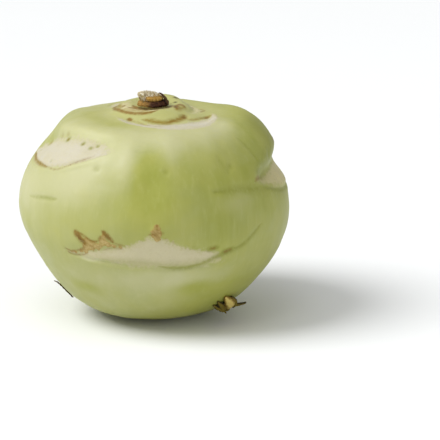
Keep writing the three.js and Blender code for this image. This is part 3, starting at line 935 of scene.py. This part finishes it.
def make_strand(name, stations, place, rings, sides):
    """A dry strip through stations of along, across, lift, half width across and half thickness."""
    table = catmull_rom(stations, rings)
    inner = table[1:-1]
    turn = np.tile(np.arange(sides) * 2 * math.pi / sides, len(inner))
    along, across, lift, half_across, half_lift = np.repeat(inner, sides, axis=0).T
    flat = place(along, across + half_across * np.cos(turn), lift + half_lift * np.sin(turn))
    ragged = 1 + RAGGED * lumps(flat, RAGGED_SIZE, 3, 4.0)
    wrinkle = WRINKLE * lumps(flat, WRINKLE_SIZE, 2, 6.0)
    across = across + half_across * np.cos(turn) * ragged
    lift = lift + half_lift * np.sin(turn) * ragged + wrinkle
    points = place(along, across, lift)
    poles = place(*table[[0, -1], :3].T)
    edge = np.append(np.abs(np.cos(turn)), [1, 1])
    faces = closed_grid_faces(len(inner), sides)
    thing = make_mesh(name, np.vstack([points, poles]), faces, {"edge": edge})
    if signed_volume(thing) < 0:
        thing.data.flip_normals()
    return thing


def signed_volume(thing):
    """Above 0 when the faces point out."""
    mesh = thing.data
    mesh.calc_loop_triangles()
    points = np.array([vertex.co for vertex in mesh.vertices])
    corners = points[np.array([triangle.vertices for triangle in mesh.loop_triangles])]
    return float(np.einsum("ij,ij->i", corners[:, 0], np.cross(corners[:, 1], corners[:, 2])).sum())


SCALE_TURN = 72


def stub_place(height, round_stub, distance):
    """A point of the scale, from its height, its way round and its distance from the stub's axis."""
    return beside_stub(distance, height, np.radians(SCALE_TURN) + round_stub / distance)


# height, way round the stub, distance from its axis, half width, half thickness
SCALE = [
    [0.0, 0.2, 5.0, 0.9, 0.25], [0.6, 0, 5.1, 1.2, 0.28], [1.4, 0, 4.85, 1.3, 0.3],
    [2.3, -0.1, 4.35, 1.1, 0.28], [3.2, -0.3, 3.7, 0.8, 0.24], [3.9, -0.6, 3.0, 0.55, 0.2],
    [4.2, -0.8, 2.6, 0.35, 0.16],
]
# azimuth, from crown, lift off the CAD solid's skin, half width down the skin, half thickness
RIGHT_LEAF_BASE = [
    [46, 93.2, 0.2, 0.6, 0.35], [49, 94.8, 0.8, 1.6, 0.7], [53, 96.5, 1.2, 2.2, 0.9],
    [57, 98.1, 1.3, 2.1, 0.9], [61, 99.6, 1.2, 1.3, 0.6], [64, 100.8, 0.8, 0.5, 0.4],
]
RIGHT_DARK_STRIPS = [
    [[42, 97.6, 0.1, 0.4, 0.3], [47, 99.4, 0.4, 0.8, 0.5], [53, 101.0, 0.8, 1.0, 0.6],
     [59, 102.0, 1.2, 1.0, 0.7], [64, 101.8, 1.7, 0.6, 0.5]],
    [[43, 95.6, 0.1, 0.4, 0.3], [48, 97.8, 0.4, 1.1, 0.5], [53, 99.6, 0.7, 1.3, 0.7],
     [58, 101.0, 0.9, 1.1, 0.7], [62, 101.6, 1.0, 0.6, 0.5]],
    [[52, 94.0, 0.3, 0.4, 0.3], [57, 95.9, 0.9, 0.9, 0.6], [62, 98.2, 1.5, 1.0, 0.7],
     [65, 100.2, 1.8, 0.6, 0.5]],
    [[62, 98.9, 1.4, 0.7, 0.6], [66, 98.8, 2.0, 0.7, 0.55], [70, 98.5, 2.6, 0.5, 0.45],
     [74, 98.3, 3.1, 0.4, 0.35]],
    [[59, 102.0, 1.6, 0.3, 0.3], [61, 102.6, 2.0, 0.3, 0.3], [63, 103.0, 2.4, 0.2, 0.2]],
]
LEFT_LEAF_BASE = [
    [[-79.5, 93.6, 0.5, 0.3, 0.25], [-78, 95, 0.25, 0.45, 0.3], [-77, 96.8, 0.2, 0.5, 0.3],
     [-76, 98.6, 0.25, 0.45, 0.3], [-75.5, 100.2, 0.45, 0.3, 0.25]],
    [[-79, 93.8, 0.3, 0.25, 0.2], [-81, 93.2, 0.8, 0.22, 0.2], [-82.5, 92.8, 1.2, 0.15, 0.15]],
]


def dry_material(name, dark, light):
    """Papery dried leaf: light in the middle, dark along its edges, with long wrinkles."""
    shader = Shader(name, Specular_IOR_Level=0.3)
    grain = shader.noise(0.4, 3, 0.65, stretch=(2.5, 2.5, 1))
    patch = shader.noise(1.4, 3)
    shade = shader.math("MULTIPLY_ADD", patch, 0.7, shader.math("SUBTRACT", shader.field("edge"), 0.35))
    colour = shader.cover(srgb(*light), dark, shade, 0.35, 0.95)
    colour = shader.cover(colour, dark, grain, 0.5, 0.8, 0.5)
    return shader.finish(colour, 0.8, shader.bump(grain, 0.15, 0.9))


dark_dry = dry_material("dark_dry_scale", (40, 22, 6), (84, 56, 22))
tan_dry = dry_material("tan_dry_leaf", (124, 98, 28), (214, 192, 112))
olive_dry = dry_material("olive_dry_leaf", (54, 42, 4), (120, 104, 28))

scale = make_strand("crown_scale_look", SCALE, stub_place, *BROAD_GRID)
dress(scale, dark_dry, "crown_scale")
right_base = make_strand("right_leaf_base", RIGHT_LEAF_BASE, skin_points, *BROAD_GRID)
dress(right_base, tan_dry, "dry_leaf_base_right")
for number, stations in enumerate(RIGHT_DARK_STRIPS, 1):
    strip = make_strand(f"right_leaf_strip_{number}", stations, skin_points, *STRIP_GRID)
    dress(strip, olive_dry, "dry_leaf_base_right")
for number, stations in enumerate(LEFT_LEAF_BASE, 1):
    strip = make_strand(f"left_leaf_strip_{number}", stations, skin_points, *STRIP_GRID)
    dress(strip, olive_dry, "dry_leaf_base_left")

# ---- Floor, light and camera ----

FLOOR_HALF_SIDE = 4.0
FLOOR_TINT = (0.852, 0.864, 0.868)
FLOOR_SHADES = (0.995, 1.005)  # its darkest and palest, as shares of the tint
SKY_STRENGTH = 0.47
KEY_FROM = (-76, 48)  # azimuth and height above the horizon
KEY_SPREAD = 34
KEY_STRENGTH = 2.6
KEY_DISTANCE = 2
BOX_TARGET = (0, 0, 0.03)
# Soft boxes: where, side and power.
SOFT_BOXES = {"fill": ((0.9, -1.0, 0.28), 0.9, 2.5), "overhead": ((-0.25, -0.35, 1.1), 0.8, 2.4)}

VIEW_ELEVATION = 14.0
VIEW_DISTANCE = 0.650
VIEW_TARGET = (0.0222, 0.0, 0.0313)
SENSOR = 36.0
FOCAL_LENGTH = 159.0


def direction(azimuth, elevation):
    """The way from the object towards an azimuth and a height above the horizon."""
    turn, rise = math.radians(azimuth), math.radians(elevation)
    return Vector((math.sin(turn) * math.cos(rise), -math.cos(turn) * math.cos(rise), math.sin(rise)))


def aim(thing, place, target):
    thing.location = place
    thing.rotation_euler = (Vector(target) - Vector(place)).to_track_quat("-Z", "Y").to_euler()


def make_floor():
    side = FLOOR_HALF_SIDE / MM
    corners = [(-side, -side, 0), (side, -side, 0), (side, side, 0), (-side, side, 0)]
    floor = make_mesh("floor", corners, [(0, 1, 2, 3)])
    shader = Shader("pale_floor", Specular_IOR_Level=0.1)
    tint = shader.noise(180, 2)
    low, high = ([share * shade for share in FLOOR_TINT] + [1] for shade in FLOOR_SHADES)
    colour = shader.mix(tint, low, high)
    floor.data.materials.append(shader.finish(colour, 0.9, shader.bump(tint, 0.01, 0.1)))


def make_light(name, kind, place, target, **settings):
    light = bpy.data.lights.new(name, kind)
    for setting, value in settings.items():
        setattr(light, setting, value)
    lamp = bpy.data.objects.new(name, light)
    bpy.context.scene.collection.objects.link(lamp)
    aim(lamp, place, target)


def make_sky():
    world = bpy.data.worlds.new("pale_sky")
    world.use_nodes = True
    world.node_tree.nodes["Background"].inputs["Color"].default_value = (1, 1, 1, 1)
    world.node_tree.nodes["Background"].inputs["Strength"].default_value = SKY_STRENGTH
    bpy.context.scene.world = world


def make_camera():
    camera = bpy.data.cameras.new("camera")
    camera.sensor_width = SENSOR
    camera.lens = FOCAL_LENGTH
    camera.clip_end = 20
    holder = bpy.data.objects.new("camera", camera)
    bpy.context.scene.collection.objects.link(holder)
    aim(holder, Vector(VIEW_TARGET) + VIEW_DISTANCE * direction(0, VIEW_ELEVATION), VIEW_TARGET)
    bpy.context.scene.camera = holder


make_floor()
make_sky()
make_light(
    "key", "SUN", direction(*KEY_FROM) * KEY_DISTANCE, (0, 0, 0),
    energy=KEY_STRENGTH, angle=math.radians(KEY_SPREAD))
for name, (place, side, power) in SOFT_BOXES.items():
    make_light(name, "AREA", place, BOX_TARGET, energy=power, size=side)
make_camera()
bpy.context.scene.view_settings.view_transform = "Standard"
